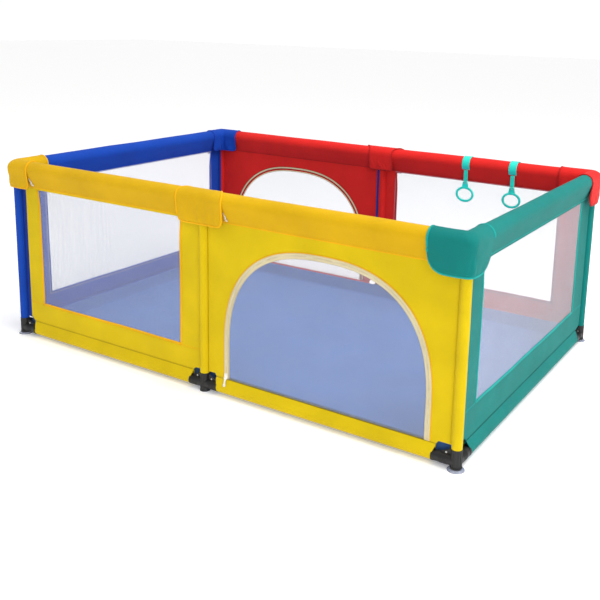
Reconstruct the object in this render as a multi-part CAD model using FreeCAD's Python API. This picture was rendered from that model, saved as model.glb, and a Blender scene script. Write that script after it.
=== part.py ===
"""A six-post fabric playpen: a steel tube frame in plastic connectors, dressed with sewn panels.

Millimetres, +Z up. The origin is on the floor, under the centre of the pen; +X is along the long side.
Six panels run counter-clockwise from post to post. Each is built along a local u axis, with its
outside at -v, and then turned and moved to the post that it starts from.
"""

import FreeCAD, Part
import math
import os

V = FreeCAD.Vector
UP = V(0, 0, 1)

# ---- frame ----
HALF_LENGTH = 870.0  # corner post axis to the middle, along X
HALF_WIDTH = 575.0  # post axis to the middle, along Y
TUBE_R = 12.5
TUBE_WALL = 0.9
BOTTOM_RAIL_Z = 25.0
TOP_RAIL_Z = 627.0
RAIL_END_GAP = 24.0  # post axis to a rail tube's end
POST_BOTTOM_Z = 20.0
POST_TOP_Z = 611.0

# ---- connectors ----
SOCKET_R = 15.2
RIB_R = 16.2
BORE_R = TUBE_R + 0.1
BORE_START = 22.0
CORNER_ARM = 70.0
MIDDLE_ARM = 56.0
SOCKET_TOP_Z = 61.0
SOCKET_BOTTOM_Z = 6.5
TOP_SOCKET_R = 14.8
TOP_SOCKET_BOTTOM_Z = 588.0
TOP_ARM = 41.0
WEB_HALF = 2.0
WEB_LENGTH = 50.0
SCREW_U = 29.0
SCREW_Z = 43.8
SCREW_HEAD_R = 3.0
SCREW_HEAD_H = 1.7
SCREW_SHANK_R = 1.6
CUP_R = 24.5
CUP_STUD_R = 4.0
FOOT_R = 17.0
FOOT_H = 3.0

# ---- sewn parts ----
CLOTH = 2.4  # panel cloth with its seam allowances
SLEEVE_R = 14.5
SLEEVE_BORE_R = TUBE_R + 0.3
SLEEVE_TIP_Z = 57.0
POST_SLEEVE_BOTTOM_Z = 61.5
POST_SLEEVE_TOP_Z = 584.0
NOTCH_TOP_Z = 68.0
PANEL_START = 17.0  # post axis to the free edge of the next panel
PANEL_STARTS = {"front_left": 42.0}  # panels whose free edge stands further from the post
COVER_R = 28.0
COVER_WALL = 1.5
COVER_BOTTOM_Z = 563.0
COVER_END = 44.0
FOAM_R = 26.2
CAP_R = 31.0
CAP_WALL = 2.4
CAP_BOTTOM_Z = 540.0
CAP_INNER_Z = 564.0  # inside the pen the caps end level with the rail covers
CAP_TRIM_V = 12.0
CAP_BOTTOM_HALF = 19.0
MESH = 1.2
WINDOW_TOP_Z = 556.0
FLOOR_LOW_Z = 2.0
FLOOR_CLOTH = 2.5
FLOOR_TOP_Z = 57.0
FLOOR_GAP = 17.5  # post axis plane to the outside of the floor's wall
FLOOR_CORNER_R = 14.0

# ---- zipped doors ----
DOOR_U = 435.0
DOOR_HALF = 341.0
DOOR_SPRING_Z = 160.0  # the legs are straight up to here
DOOR_TOP_Z = 503.0
DOOR_POWER = 2.5
DOOR_BOTTOM_Z = 60.0
DOOR_GAP = 1.0
TAPE_WIDTH = 13.0
TAPE = 0.8
SLIDER_U = 88.0
SLIDER_Z = 63.0
SLIDER_WIDTH = 11.0
SLIDER_HEIGHT = 17.0
SLIDER_BACK = 2.5
SLIDER_BODY = 2.6
TAB_PIN_R = 1.0
TAB_LENGTH = 26.0
TAB_TILT = 15.0

# ---- pull-up rings on the back rail ----
RING_X = (381.0, 573.0)
LOOP_WIDTH = 36.0
STRAP_WIDTH = 17.0
WEBBING = 2.0
LOOP_END_Z = 603.0
STRAP_END_Z = 559.5
RING_HALF_WIDTH = 38.0
RING_HALF_HEIGHT = 31.0
RING_Z = 507.0
RING_THICK = 6.5
RING_BAND = 9.0  # width of the ring's band, seen face on
NECK_THICK = 3.0

POSTS = {
    "front_left": (-HALF_LENGTH, -HALF_WIDTH),
    "front_middle": (0.0, -HALF_WIDTH),
    "front_right": (HALF_LENGTH, -HALF_WIDTH),
    "back_right": (HALF_LENGTH, HALF_WIDTH),
    "back_middle": (0.0, HALF_WIDTH),
    "back_left": (-HALF_LENGTH, HALF_WIDTH),
}
# panel name: post it starts from, heading in degrees, post whose sleeve it carries
PANELS = {
    "front_left": ("front_left", 0, "front_middle"),
    "front_right": ("front_middle", 0, "front_right"),
    "right": ("front_right", 90, "back_right"),
    "back_right": ("back_right", 180, "back_middle"),
    "back_left": ("back_middle", 180, "back_left"),
    "left": ("back_left", 270, "front_left"),
}
# window panels: near edge, far edge and sill of the mesh window
WINDOWS = {
    "front_left": (112.0, 773.0, 133.0),
    "right": (118.0, 1020.0, 147.0),
    "back_right": (114.0, 803.0, 126.0),
    "left": (86.0, 1027.0, 125.0),
}
DOORS = ("front_right", "back_left")
# corner post: heading, arm of its cap along the outgoing side, arm along the incoming side
CORNERS = {
    "front_left": (0, 60.0, 117.0),
    "front_right": (90, 150.0, 117.0),
    "back_right": (180, 117.0, 110.0),
    "back_left": (270, 84.0, 100.0),
}
MIDDLES = {"front_middle": 0, "back_middle": 180}
MIDDLE_CAP_OUTSIDE = 180.0
MIDDLE_CAP_INSIDE = 105.0


def save(node, shape):
    shape.exportStep("parts/" + node + ".step")
    print(node, len(shape.Solids), "solids", shape.isValid(), round(shape.Volume))


def place(shape, post, heading):
    """A shape built at the local origin, turned to a heading and moved to a post."""
    x, y = POSTS[post]
    turned = shape.copy()
    turned.rotate(V(0, 0, 0), UP, heading)
    turned.translate(V(x, y, 0))
    return turned


def along_u(radius, start, end, z):
    return Part.makeCylinder(radius, end - start, V(start, 0, z), V(1, 0, 0))


def upright(radius, low, high, u=0.0, v=0.0):
    return Part.makeCylinder(radius, high - low, V(u, v, low), UP)


def block(u0, u1, v0, v1, z0, z1):
    return Part.makeBox(u1 - u0, v1 - v0, z1 - z0, V(u0, v0, z0))


def length_of(panel):
    start, heading, end = PANELS[panel]
    (x0, y0), (x1, y1) = POSTS[start], POSTS[end]
    return math.hypot(x1 - x0, y1 - y0)


def arm_of(post):
    return CORNER_ARM if post in CORNERS else MIDDLE_ARM


# ---- profiles across a rail, drawn at u = 0 in the v-z plane ----
def teardrop(radius, centre_z, half_angle, tip_z):
    """A round top whose two sides run straight together, cut level at tip_z."""
    c, s = math.cos(half_angle), math.sin(half_angle)
    apex = centre_z - radius / s
    tip_half = (tip_z - apex) * math.tan(half_angle)
    side, side_z = radius * c, centre_z - radius * s
    arc = Part.Arc(V(0, side, side_z), V(0, 0, centre_z + radius), V(0, -side, side_z)).toShape()
    rest = Part.makePolygon([V(0, -side, side_z), V(0, -tip_half, tip_z), V(0, tip_half, tip_z),
                             V(0, side, side_z)])
    return Part.Face(Part.Wire([arc] + rest.Edges))


def upturned(radius, centre_z, tip_z, tip_half):
    """A round bottom whose two sides run straight up to a narrow level top."""
    reach = math.hypot(tip_z - centre_z, tip_half)
    turn = math.acos(radius / reach) + math.atan2(tip_half, tip_z - centre_z)
    side, side_z = radius * math.sin(turn), centre_z + radius * math.cos(turn)
    arc = Part.Arc(V(0, side, side_z), V(0, 0, centre_z - radius), V(0, -side, side_z)).toShape()
    rest = Part.makePolygon([V(0, -side, side_z), V(0, -tip_half, tip_z), V(0, tip_half, tip_z),
                             V(0, side, side_z)])
    return Part.Face(Part.Wire([arc] + rest.Edges))


COVER_ANGLE = math.asin(COVER_R / (TOP_RAIL_Z - 560.0))


def cover_profile(radius):
    apex_drop = (radius - COVER_R) / math.sin(COVER_ANGLE)
    return teardrop(radius, TOP_RAIL_Z, COVER_ANGLE, COVER_BOTTOM_Z - apex_drop)


def cover_half_at(radius, z):
    apex = TOP_RAIL_Z - radius / math.sin(COVER_ANGLE)
    return (z - apex) * math.tan(COVER_ANGLE)


def extrude_u(face, start, end):
    moved = face.copy()
    moved.translate(V(start, 0, 0))
    return moved.extrude(V(end - start, 0, 0))


# ---- frame tubes ----
def tube(make, start, end, *where):
    return make(TUBE_R, start, end, *where).cut(make(TUBE_R - TUBE_WALL, start - 1, end + 1, *where))


def build_tubes():
    for post, (x, y) in POSTS.items():
        save("post_" + post, place(tube(upright, POST_BOTTOM_Z, POST_TOP_Z), post, 0))
    long_top, short_top = [], []
    for panel, (start, heading, end) in PANELS.items():
        length = length_of(panel)
        rail = tube(along_u, RAIL_END_GAP, length - RAIL_END_GAP, BOTTOM_RAIL_Z)
        save("bottom_rail_" + panel, place(rail, start, heading))
        rail = place(tube(along_u, RAIL_END_GAP, length - RAIL_END_GAP, TOP_RAIL_Z), start, heading)
        (short_top if length > HALF_LENGTH else long_top).append(rail)
    save("top_rails_front_and_back", Part.makeCompound(long_top))
    save("top_rails_sides", Part.makeCompound(short_top))


# ---- connectors ----
def turned_to_v(shape):
    turned = shape.copy()
    turned.rotate(V(0, 0, 0), UP, 90)
    return turned


def socket_arm(reach):
    """A ribbed socket along u with its stiffening web, solid until the bores are cut."""
    arm = along_u(SOCKET_R, 0, reach, BOTTOM_RAIL_Z)
    arm = arm.fuse(along_u(RIB_R, reach - 6, reach, BOTTOM_RAIL_Z))
    for k in range(4):
        arm = arm.fuse(along_u(RIB_R - 0.2, 24 + 6 * k, 26.4 + 6 * k, BOTTOM_RAIL_Z))
    web = Part.Face(Part.makePolygon([V(0, -WEB_HALF, 34), V(WEB_LENGTH, -WEB_HALF, 34),
                                      V(WEB_LENGTH, -WEB_HALF, 40), V(13, -WEB_HALF, 58),
                                      V(0, -WEB_HALF, 58), V(0, -WEB_HALF, 34)]))
    return arm.fuse(web.extrude(V(0, 2 * WEB_HALF, 0)))


def screw_hole(radius, u, z):
    return Part.makeCylinder(radius, 4 * WEB_HALF, V(u, -2 * WEB_HALF, z), V(0, 1, 0))


def arm_bores(reach):
    bore = along_u(BORE_R, BORE_START, reach + 1, BOTTOM_RAIL_Z)
    hole = screw_hole(SCREW_SHANK_R, SCREW_U, SCREW_Z)
    return bore.fuse(hole)


def post_socket():
    barrel = upright(SOCKET_R, SOCKET_BOTTOM_Z + 2, SOCKET_TOP_Z)
    barrel = barrel.fuse(upright(RIB_R, SOCKET_TOP_Z - 4, SOCKET_TOP_Z))
    for k in range(12):
        rib = block(SOCKET_R - 1, RIB_R, -0.9, 0.9, SOCKET_BOTTOM_Z + 5, SOCKET_TOP_Z - 2)
        rib.rotate(V(0, 0, 0), UP, 15 + 30 * k)
        barrel = barrel.fuse(rib)
    return barrel


def corner_connector():
    body = post_socket().fuse(upright(SOCKET_R + 2, SOCKET_BOTTOM_Z, SOCKET_BOTTOM_Z + 3.5))
    body = body.fuse(socket_arm(CORNER_ARM)).fuse(turned_to_v(socket_arm(CORNER_ARM)))
    bores = upright(BORE_R, POST_BOTTOM_Z, SOCKET_TOP_Z + 1)
    bores = bores.fuse(arm_bores(CORNER_ARM)).fuse(turned_to_v(arm_bores(CORNER_ARM)))
    stud = upright(CUP_STUD_R + 0.1, SOCKET_BOTTOM_Z - 1, SOCKET_BOTTOM_Z + 9)
    return body.cut(bores.fuse(stud)).removeSplitter()


def middle_connector():
    foot = Part.makeCone(FOOT_R, SOCKET_R, 6, V(0, 0, FOOT_H), UP).fuse(upright(FOOT_R, 0, FOOT_H))
    body = post_socket().fuse(foot)
    other = socket_arm(MIDDLE_ARM).mirror(V(0, 0, 0), V(1, 0, 0))
    body = body.fuse(socket_arm(MIDDLE_ARM)).fuse(other)
    bores = upright(BORE_R, POST_BOTTOM_Z, SOCKET_TOP_Z + 1)
    bores = bores.fuse(arm_bores(MIDDLE_ARM)).fuse(arm_bores(MIDDLE_ARM).mirror(V(0, 0, 0), V(1, 0, 0)))
    return body.cut(bores).removeSplitter()


def top_arm_and_bore():
    arm = along_u(TOP_SOCKET_R, 0, TOP_ARM, TOP_RAIL_Z)
    return arm, along_u(BORE_R, BORE_START, TOP_ARM + 1, TOP_RAIL_Z)


def top_connector(turn_second):
    arm, bore = top_arm_and_bore()
    body = upright(TOP_SOCKET_R, TOP_SOCKET_BOTTOM_Z, TOP_RAIL_Z + 5).fuse(arm).fuse(turn_second(arm))
    bores = upright(BORE_R, TOP_SOCKET_BOTTOM_Z - 1, POST_TOP_Z + 0.5).fuse(bore).fuse(turn_second(bore))
    return body.cut(bores).removeSplitter()


def suction_cup():
    """A shallow bell, hollow underneath, with a stud that presses into the connector."""
    bell = Part.makeCone(CUP_R - 1.5, 9, 4.6, V(0, 0, 1.4), UP).fuse(upright(CUP_R, 0, 1.4))
    bell = bell.fuse(upright(9, 5.5, SOCKET_BOTTOM_Z)).fuse(upright(CUP_STUD_R, 6, SOCKET_BOTTOM_Z + 8))
    hollow = Part.makeCone(CUP_R - 3.5, 5, 3.6, V(0, 0, -0.01), UP)
    return bell.cut(hollow).removeSplitter()


def screw():
    head = Part.makeCylinder(SCREW_HEAD_R, SCREW_HEAD_H, V(0, 0, 0), V(0, -1, 0))
    head = head.makeFillet(0.8, [e for e in head.Edges if e.BoundBox.YMax < -SCREW_HEAD_H + 0.01])
    shank = Part.makeCylinder(SCREW_SHANK_R - 0.05, 2 * WEB_HALF + 0.5, V(0, 0, 0), V(0, 1, 0))
    whole = head.fuse(shank)
    whole.translate(V(SCREW_U, -WEB_HALF, SCREW_Z))
    return whole


def build_connectors():
    top, cups, screws = [], [], []
    for post, (heading, outgoing, incoming) in CORNERS.items():
        save("bottom_connector_" + post, place(corner_connector(), post, heading))
        top.append(place(top_connector(turned_to_v), post, heading))
        cups.append(place(suction_cup(), post, heading))
        screws.append(place(screw(), post, heading))
        inner = screw()
        inner.rotate(V(SCREW_U, 0, SCREW_Z), UP, 180)
        screws.append(place(turned_to_v(inner), post, heading))
    for post, heading in MIDDLES.items():
        save("bottom_connector_" + post, place(middle_connector(), post, heading))
        top.append(place(top_connector(lambda s: s.mirror(V(0, 0, 0), V(1, 0, 0))), post, heading))
        screws.append(place(screw(), post, heading))
        screws.append(place(screw().mirror(V(0, 0, 0), V(1, 0, 0)), post, heading))
    save("top_connectors", Part.makeCompound(top))
    save("suction_cups", Part.makeCompound(cups))
    save("connector_screws", Part.makeCompound(screws))


# ---- padded top rails ----
def build_rail_padding():
    long_foam, short_foam = [], []
    for panel, (start, heading, end) in PANELS.items():
        length = length_of(panel)
        cover = extrude_u(cover_profile(COVER_R), COVER_END, length - COVER_END)
        inside = extrude_u(cover_profile(COVER_R - COVER_WALL), COVER_END - 1, length - COVER_END + 1)
        slot = block(0, length, -COVER_R, COVER_R, COVER_BOTTOM_Z - 20, COVER_BOTTOM_Z + 3)
        save("rail_cover_" + panel, place(cover.cut(inside.cut(slot)), start, heading))
        foam = along_u(FOAM_R, COVER_END, length - COVER_END, TOP_RAIL_Z)
        foam = foam.cut(along_u(SLEEVE_BORE_R, COVER_END - 1, length - COVER_END + 1, TOP_RAIL_Z))
        (short_foam if length > HALF_LENGTH else long_foam).append(place(foam, start, heading))
    save("rail_foam_front_and_back", Part.makeCompound(long_foam))
    save("rail_foam_sides", Part.makeCompound(short_foam))


# ---- cloth caps over the connectors ----
def cap_outline(radius, bottom_half, bottom_z):
    """Right half of a cap's section, from its top down to the open bottom."""
    arc = Part.Arc(V(0, 0, TOP_RAIL_Z + radius),
                   V(0, radius * math.sin(math.pi / 4), TOP_RAIL_Z + radius * math.cos(math.pi / 4)),
                   V(0, radius, TOP_RAIL_Z)).toShape()
    rest = Part.makePolygon([V(0, radius, TOP_RAIL_Z), V(0, bottom_half, bottom_z), V(0, 0, bottom_z),
                             V(0, 0, TOP_RAIL_Z + radius)])
    return Part.Face(Part.Wire([arc] + rest.Edges))


def cap_layers():
    outer = cap_outline(CAP_R, CAP_BOTTOM_HALF, CAP_BOTTOM_Z)
    inner = cap_outline(CAP_R - CAP_WALL, CAP_BOTTOM_HALF - CAP_WALL, CAP_BOTTOM_Z - 1)
    return outer, inner


def cap_arm(half, start, end):
    other = half.mirror(V(0, 0, 0), V(0, 1, 0))
    return extrude_u(half, start, end).fuse(extrude_u(other, start, end)).removeSplitter()


def corner_cap(outgoing, incoming):
    layers = []
    for half, extra in zip(cap_layers(), (0.0, 1.0)):
        corner = half.revolve(V(0, 0, 0), UP, 360)
        arms = cap_arm(half, 0, outgoing + extra).fuse(turned_to_v(cap_arm(half, 0, incoming + extra)))
        layers.append(arms.fuse(corner))
    trim = block(CAP_TRIM_V, 250, CAP_TRIM_V, 250, CAP_BOTTOM_Z - 1, CAP_INNER_Z)
    return layers[0].cut(layers[1]).cut(trim).removeSplitter()


def middle_cap():
    outer, inner = cap_layers()
    reach = MIDDLE_CAP_OUTSIDE / 2
    shell = cap_arm(outer, -reach, reach).cut(cap_arm(inner, -reach - 1, reach + 1))
    trim = block(MIDDLE_CAP_INSIDE / 2, reach + 1, 0, CAP_R + 1, CAP_BOTTOM_Z - 1, TOP_RAIL_Z + CAP_R / 2)
    hem = block(-reach - 1, reach + 1, CAP_TRIM_V, CAP_R + 1, CAP_BOTTOM_Z - 1, CAP_INNER_Z)
    return shell.cut(trim).cut(trim.mirror(V(0, 0, 0), V(1, 0, 0))).cut(hem)


def build_caps():
    for post, (heading, outgoing, incoming) in CORNERS.items():
        save("top_cap_" + post, place(corner_cap(outgoing, incoming), post, heading))
    for post, heading in MIDDLES.items():
        save("top_cap_" + post, place(middle_cap(), post, heading))


# ---- sewn side panels ----
def arch_face(half, top_z, bottom_z):
    """An upturned U whose straight legs run into a superelliptic crown."""
    crown = []
    steps = 16
    for k in range(steps + 1):
        t = math.pi * k / steps
        c, s = math.cos(t), math.sin(t)
        reach = math.copysign(abs(c) ** (2 / DOOR_POWER), c)
        rise = abs(s) ** (2 / DOOR_POWER)
        crown.append(V(DOOR_U + half * reach, 0, DOOR_SPRING_Z + (top_z - DOOR_SPRING_Z) * rise))
    curve = Part.BSplineCurve()
    curve.interpolate(crown, InitialTangent=UP, FinalTangent=V(0, 0, -1))
    legs = Part.makePolygon([crown[-1], V(DOOR_U - half, 0, bottom_z), V(DOOR_U + half, 0, bottom_z),
                             crown[0]])
    return Part.Face(Part.Wire([curve.toShape()] + legs.Edges))


def arch(half, top_z, bottom_z, v0, v1):
    solid = arch_face(half, top_z, bottom_z).extrude(V(0, v1 - v0, 0))
    solid.translate(V(0, v0, 0))
    return solid


def panel_blank(panel):
    """The cloth of one side with its rail sleeve and post sleeve, before its window or door."""
    start, heading, end = PANELS[panel]
    length = length_of(panel)
    low, high = arm_of(start) + 0.5, length - arm_of(end) - 0.5
    free = PANEL_STARTS.get(panel, PANEL_START)
    cloth = block(free, length - SLEEVE_BORE_R - 0.7, -CLOTH / 2, CLOTH / 2, NOTCH_TOP_Z,
                  COVER_BOTTOM_Z - 0.2)
    skirt = block(low, high, -CLOTH / 2, CLOTH / 2, SLEEVE_TIP_Z - 1, NOTCH_TOP_Z + 1)
    rail_sleeve = extrude_u(upturned(SLEEVE_R, BOTTOM_RAIL_Z, SLEEVE_TIP_Z, CLOTH / 2), low, high)
    post_sleeve = upright(SLEEVE_R, POST_SLEEVE_BOTTOM_Z, POST_SLEEVE_TOP_Z, length)
    blank = cloth.fuse(skirt).fuse(rail_sleeve).fuse(post_sleeve)
    blank = blank.cut(along_u(SLEEVE_BORE_R, low - 1, high + 1, BOTTOM_RAIL_Z))
    return blank.cut(upright(SLEEVE_BORE_R, 0, TOP_RAIL_Z, length)).removeSplitter()


def build_panels():
    tapes = []
    for panel, (start, heading, end) in PANELS.items():
        blank = panel_blank(panel)
        if panel in WINDOWS:
            near, far, sill = WINDOWS[panel]
            blank = blank.cut(block(near, far, -CLOTH, CLOTH, sill, WINDOW_TOP_Z))
            mesh = block(near + 0.2, far - 0.2, -MESH / 2, MESH / 2, sill + 0.2, WINDOW_TOP_Z - 0.2)
            save("mesh_window_" + panel, place(mesh, start, heading))
        else:
            blank = blank.cut(arch(DOOR_HALF, DOOR_TOP_Z, SLEEVE_TIP_Z + 0.5, -CLOTH, CLOTH))
            flap = arch(DOOR_HALF - DOOR_GAP, DOOR_TOP_Z - DOOR_GAP, DOOR_BOTTOM_Z, -CLOTH / 2, CLOTH / 2)
            save("door_flap_" + panel, place(flap, start, heading))
            face_v = -CLOTH / 2 - 0.1
            tape = arch(DOOR_HALF + TAPE_WIDTH, DOOR_TOP_Z + TAPE_WIDTH, DOOR_BOTTOM_Z, face_v - TAPE,
                        face_v)
            tape = tape.cut(arch(DOOR_HALF, DOOR_TOP_Z, DOOR_BOTTOM_Z - 1, -2 * CLOTH, CLOTH))
            tapes.append(place(tape, start, heading))
        save("side_panel_" + panel, place(blank, start, heading))
    save("door_zip_tapes", Part.makeCompound(tapes))


def build_floor():
    """A shallow tub of cloth whose wall stands inside the bottom rails."""
    half_x, half_y = HALF_LENGTH - FLOOR_GAP, HALF_WIDTH - FLOOR_GAP
    outside = block(-half_x, half_x, -half_y, half_y, FLOOR_LOW_Z, FLOOR_TOP_Z)
    outside = round_corners(outside, FLOOR_CORNER_R)
    half_x, half_y = half_x - FLOOR_CLOTH, half_y - FLOOR_CLOTH
    inside = block(-half_x, half_x, -half_y, half_y, FLOOR_LOW_Z + FLOOR_CLOTH, FLOOR_TOP_Z + 1)
    inside = round_corners(inside, FLOOR_CORNER_R - FLOOR_CLOTH)
    save("floor_sheet", outside.cut(inside))


def round_corners(solid, radius):
    uprights = [e for e in solid.Edges if e.BoundBox.ZLength > 1 and e.BoundBox.XLength < 0.01
                and e.BoundBox.YLength < 0.01]
    return solid.makeFillet(radius, uprights)


# ---- zip sliders and their tabs ----
def pin_v():
    return -(SLIDER_BACK + SLIDER_BODY + 2.2)


def slider():
    """A flat body with two ears that hold the tab's pin."""
    front = -(SLIDER_BACK + SLIDER_BODY)
    body = block(-SLIDER_WIDTH / 2, SLIDER_WIDTH / 2, front, -SLIDER_BACK, -1, SLIDER_HEIGHT - 1)
    body = body.makeFillet(2.0, [e for e in body.Edges if e.BoundBox.YLength > 1])
    whole = body
    for side in (-1, 1):
        ear = Part.makeCylinder(2.2, 1.4, V(side * 4.0 - 0.7, pin_v(), 0), V(1, 0, 0))
        root = block(side * 4.0 - 0.7, side * 4.0 + 0.7, pin_v(), front + 0.5, -2.2 + 1.2, 2.2)
        whole = whole.fuse(ear).fuse(root)
    pin = Part.makeCylinder(TAB_PIN_R, 8.0, V(-4.0, pin_v(), 0), V(1, 0, 0))
    whole = whole.fuse(pin).removeSplitter()
    whole.translate(V(SLIDER_U, 0, SLIDER_Z))
    return whole


def pull_tab():
    """A tongue that hangs from the slider's pin and leans out over the rail sleeve."""
    eye = Part.makeCylinder(2.0, 6.0, V(-3.0, 0, 0), V(1, 0, 0))
    tongue = block(-3.0, 3.0, -0.8, 0.8, -TAB_LENGTH, 0)
    end = Part.makeCylinder(4.5, 1.6, V(0, -0.8, -TAB_LENGTH + 4.5), V(0, 1, 0))
    whole = eye.fuse(tongue).fuse(end)
    whole = whole.common(block(-4.5, 4.5, -3, 3, -TAB_LENGTH, 3))
    bore = Part.makeCylinder(TAB_PIN_R + 0.08, 8.0, V(-4.0, 0, 0), V(1, 0, 0))
    whole = whole.cut(bore).removeSplitter()
    whole.rotate(V(0, 0, 0), V(1, 0, 0), -TAB_TILT)
    whole.translate(V(SLIDER_U, pin_v(), SLIDER_Z))
    return whole


def build_zip_pulls():
    for panel in DOORS:
        start, heading, end = PANELS[panel]
        side = panel.split("_")[0]
        save("zip_slider_" + side, place(slider(), start, heading))
        save("zip_tab_" + side, place(pull_tab(), start, heading))


# ---- pull-up straps and rings, hung from the back rail ----
def to_back_rail(shape, x):
    """Turns a shape built on a rail along u, inside at +v, onto the back rail at x."""
    turned = shape.copy()
    turned.rotate(V(0, 0, 0), UP, 180)
    turned.translate(V(x, HALF_WIDTH, 0))
    return turned


def strap_loop():
    inner_r = COVER_R + 0.3
    band = extrude_u(cover_profile(inner_r + WEBBING), -LOOP_WIDTH / 2, LOOP_WIDTH / 2)
    band = band.cut(extrude_u(cover_profile(inner_r), -LOOP_WIDTH, LOOP_WIDTH))
    return band.common(block(-LOOP_WIDTH, LOOP_WIDTH, -40, 40, LOOP_END_Z + 1.6, TOP_RAIL_Z + 40))


def strap_v():
    return cover_half_at(COVER_R + 0.3 + WEBBING / 2, LOOP_END_Z)


def hanging_strap():
    v = strap_v()
    return block(-STRAP_WIDTH / 2, STRAP_WIDTH / 2, v - WEBBING / 2, v + WEBBING / 2, STRAP_END_Z + 1.5,
                 LOOP_END_Z)


def oval(half_u, half_z):
    axis = V(1, 0, 0) if half_u > half_z else V(0, 0, 1)
    other = V(0, 0, 1) if half_u > half_z else V(1, 0, 0)
    big, small = max(half_u, half_z), min(half_u, half_z)
    edge = Part.Ellipse(V(axis.x * big, 0, axis.z * big), V(other.x * small, 0, other.z * small),
                        V(0, 0, 0)).toShape()
    return Part.Face(Part.Wire([edge]))


def pull_ring():
    """An oval hand ring with a flat neck that the strap is sewn to."""
    inner = oval(RING_HALF_WIDTH - RING_BAND, RING_HALF_HEIGHT - RING_BAND)
    ring = oval(RING_HALF_WIDTH, RING_HALF_HEIGHT).extrude(V(0, RING_THICK, 0))
    ring = ring.cut(inner.extrude(V(0, RING_THICK, 0)))
    ring = ring.makeFillet(2.4, ring.Edges)
    ring.translate(V(0, -RING_THICK / 2, RING_Z))
    top = STRAP_END_Z - 2.0
    foot = RING_Z + RING_HALF_HEIGHT - 3.0
    half = NECK_THICK / 2
    neck = Part.Face(Part.makePolygon([V(-9, -half, top), V(9, -half, top), V(14, -half, foot - 1.5),
                                       V(-14, -half, foot - 1.5), V(-9, -half, top)]))
    neck = neck.extrude(V(0, NECK_THICK, 0))
    opening = block(-6, 6, -3, 3, top - 7, top - 4)
    hole = inner.extrude(V(0, 8, 0))
    hole.translate(V(0, -4, RING_Z))
    whole = ring.fuse(neck.cut(opening).cut(hole)).removeSplitter()
    whole.translate(V(0, strap_v(), 0))
    return whole


def build_pull_rings():
    save("pull_strap_loops", Part.makeCompound([to_back_rail(strap_loop(), x) for x in RING_X]))
    for label, x in zip("ab", RING_X):
        save("pull_strap_" + label, to_back_rail(hanging_strap(), x))
        save("pull_ring_" + label, to_back_rail(pull_ring(), x))


os.makedirs("parts", exist_ok=True)
build_tubes()
build_connectors()
build_rail_padding()
build_caps()
build_panels()
build_floor()
build_zip_pulls()
build_pull_rings()
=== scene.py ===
"""Looks for the fabric playpen: sewn panels, padded rails, caps, nets, zips and the tub floor.

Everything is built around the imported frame, in metres. A panel is drawn in its own (u, v, z) axes:
u runs counter-clockwise along the pen from the panel's first post, its outside is at -v.
"""

import math

import bmesh
import bpy
from mathutils import Matrix, Vector, noise


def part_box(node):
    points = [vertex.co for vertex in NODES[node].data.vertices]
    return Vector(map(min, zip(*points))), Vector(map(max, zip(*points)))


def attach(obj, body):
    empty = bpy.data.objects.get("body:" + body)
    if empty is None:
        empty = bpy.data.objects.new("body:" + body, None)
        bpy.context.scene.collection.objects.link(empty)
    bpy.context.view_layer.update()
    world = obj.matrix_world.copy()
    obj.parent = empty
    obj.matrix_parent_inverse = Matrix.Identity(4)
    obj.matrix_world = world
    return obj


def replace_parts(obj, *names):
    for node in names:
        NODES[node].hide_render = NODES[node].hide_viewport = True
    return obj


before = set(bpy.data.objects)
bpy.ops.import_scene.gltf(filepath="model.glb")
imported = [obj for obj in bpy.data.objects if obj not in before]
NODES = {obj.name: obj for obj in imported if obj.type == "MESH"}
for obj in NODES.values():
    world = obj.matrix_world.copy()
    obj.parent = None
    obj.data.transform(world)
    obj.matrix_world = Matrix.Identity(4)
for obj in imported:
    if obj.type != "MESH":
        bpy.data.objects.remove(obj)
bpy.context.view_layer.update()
MM = 0.001

# ---- places read from the frame ----
POST_NAMES = ("front_left", "front_middle", "front_right", "back_right", "back_middle", "back_left")


def middle_of(node):
    low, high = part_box(node)
    return (low + high) / 2


POSTS = {name: middle_of("post_" + name).to_2d().to_3d() for name in POST_NAMES}
BOTTOM_Z = middle_of("bottom_rail_front_left").z
TOP_Z = middle_of("top_rails_front_and_back").z
COVER_TIP_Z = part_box("rail_cover_front_left")[0].z
COVER_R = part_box("rail_cover_front_left")[1].z - TOP_Z
CAP_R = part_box("top_cap_front_right")[1].z - TOP_Z
CAP_LOW_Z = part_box("top_cap_front_right")[0].z
NET_TOP_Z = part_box("mesh_window_front_left")[1].z

# ---- sewing sizes ----
SLEEVE_R = 14.4 * MM
SLEEVE_TIP_Z = 57 * MM
POST_SLEEVE_LOW = 61.5 * MM
POST_SLEEVE_HIGH = 584 * MM
NOTCH_Z = 68 * MM
CLOTH = 1.6 * MM
CORNER_ARM = 70.5 * MM
MIDDLE_ARM = 56.5 * MM
COVER_END = 44 * MM
COVER_BELLY = 0.10
DOOR_U = 435 * MM
DOOR_HALF = 341 * MM
DOOR_SPRING_Z = 160 * MM
DOOR_TOP_Z = 503 * MM
DOOR_LOW_Z = 60 * MM
DOOR_POWER = 2.5
FLARE = 7 * MM
FLARE_HEIGHT = 70 * MM
FLARE_REACH = 30 * MM
FINE_WELD = 0.01 * MM
OUT = Vector((0, -1, 0))
SLIDER_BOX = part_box("zip_slider_front")
ZIP_GROW = DOOR_U - DOOR_HALF - ((SLIDER_BOX[0].x + SLIDER_BOX[1].x) / 2 - POSTS["front_middle"].x)

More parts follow.
